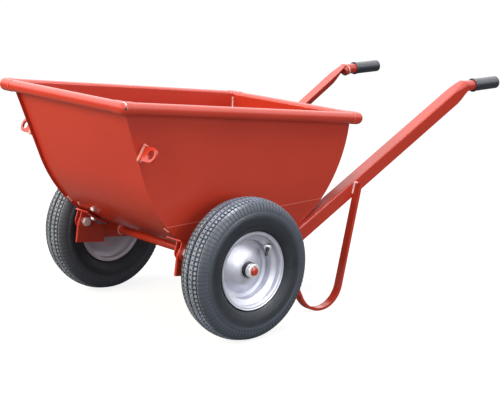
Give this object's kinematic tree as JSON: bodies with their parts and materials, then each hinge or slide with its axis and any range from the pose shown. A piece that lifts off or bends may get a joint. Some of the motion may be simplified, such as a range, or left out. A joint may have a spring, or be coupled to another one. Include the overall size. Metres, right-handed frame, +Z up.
{
  "type": "tipping garden cart",
  "caption": "Wheeled garden cart: an open sheet-steel tub with a tubular rim tips forward on a hinge over the axle; rising handle rails with rubber grips and bent flat-bar stands behind.",
  "frame": {"origin": "on the ground, midway between the wheels and under the middle of the cart's length", "axes": "+X to the cart's left, +Y towards the handles, +Z up; the tub tips towards -Y"},
  "size_m": [0.778, 1.4898, 0.6941],
  "materials": {
    "red_paint": "gloss powder coat",
    "zinc_steel": "bright zinc",
    "tyre_rubber": "matt black rubber",
    "grip_rubber": "matt black rubber",
    "black_plastic": "matt black",
    "bearing_steel": "ground steel"
  },
  "bodies": {
    "frame": {"axle": "red_paint", "rail_tie_tube": "red_paint", "handle_rail_left": "red_paint", "handle_rail_right": "red_paint", "grip_pipe_left": "red_paint", "grip_pipe_right": "red_paint", "hand_grip_left": "grip_rubber", "hand_grip_right": "grip_rubber", "pivot_plate_left": "red_paint", "pivot_plate_right": "red_paint", "stand_loop_left": "red_paint", "stand_loop_right": "red_paint", "axle_shoulder_left": "red_paint", "axle_shoulder_right": "red_paint", "set_collar_left": "zinc_steel", "set_collar_right": "zinc_steel"},
    "tub": {"tub_wrap_sheet": "red_paint", "side_panel_left": "red_paint", "side_panel_right": "red_paint", "rim_tube_front": "red_paint", "rim_tube_rear": "red_paint", "rim_tube_left": "red_paint", "rim_tube_right": "red_paint", "rim_elbow_front_left": "red_paint", "rim_elbow_front_right": "red_paint", "rim_elbow_rear_left": "red_paint", "rim_elbow_rear_right": "red_paint", "lifting_lug_left": "red_paint", "lifting_lug_right": "red_paint", "hinge_bracket_left": "red_paint", "hinge_bracket_right": "red_paint", "pivot_bolt_left": "zinc_steel", "pivot_bolt_right": "zinc_steel", "pivot_nut_left": "zinc_steel", "pivot_nut_right": "zinc_steel"},
    "wheel_left": {"tyre_left": "tyre_rubber", "inner_tube_left": "tyre_rubber", "wheel_rim_left": "zinc_steel", "wheel_disc_left": "zinc_steel", "hub_tube_left": "zinc_steel", "bearing_outer_left": "bearing_steel", "hub_seal_outer_left": "black_plastic", "bearing_inner_left": "bearing_steel", "hub_seal_inner_left": "black_plastic", "valve_left": "black_plastic"},
    "wheel_right": {"tyre_right": "tyre_rubber", "inner_tube_right": "tyre_rubber", "wheel_rim_right": "zinc_steel", "wheel_disc_right": "zinc_steel", "hub_tube_right": "zinc_steel", "bearing_outer_right": "bearing_steel", "hub_seal_outer_right": "black_plastic", "bearing_inner_right": "bearing_steel", "hub_seal_inner_right": "black_plastic", "valve_right": "black_plastic"}
  },
  "joints": [
    {"name": "tub_tip", "type": "hinge", "parent": "frame", "child": "tub", "pos_m": [0, -0.50748, 0.24989], "axis": [1, 0, 0], "range_deg": [0, 85]},
    {"name": "wheel_left_spin", "type": "hinge", "parent": "frame", "child": "wheel_left", "pos_m": [0.339, -0.36748, 0.2], "axis": [1, 0, 0], "continuous": true},
    {"name": "wheel_right_spin", "type": "hinge", "parent": "frame", "child": "wheel_right", "pos_m": [-0.339, -0.36748, 0.2], "axis": [1, 0, 0], "continuous": true}
  ]
}
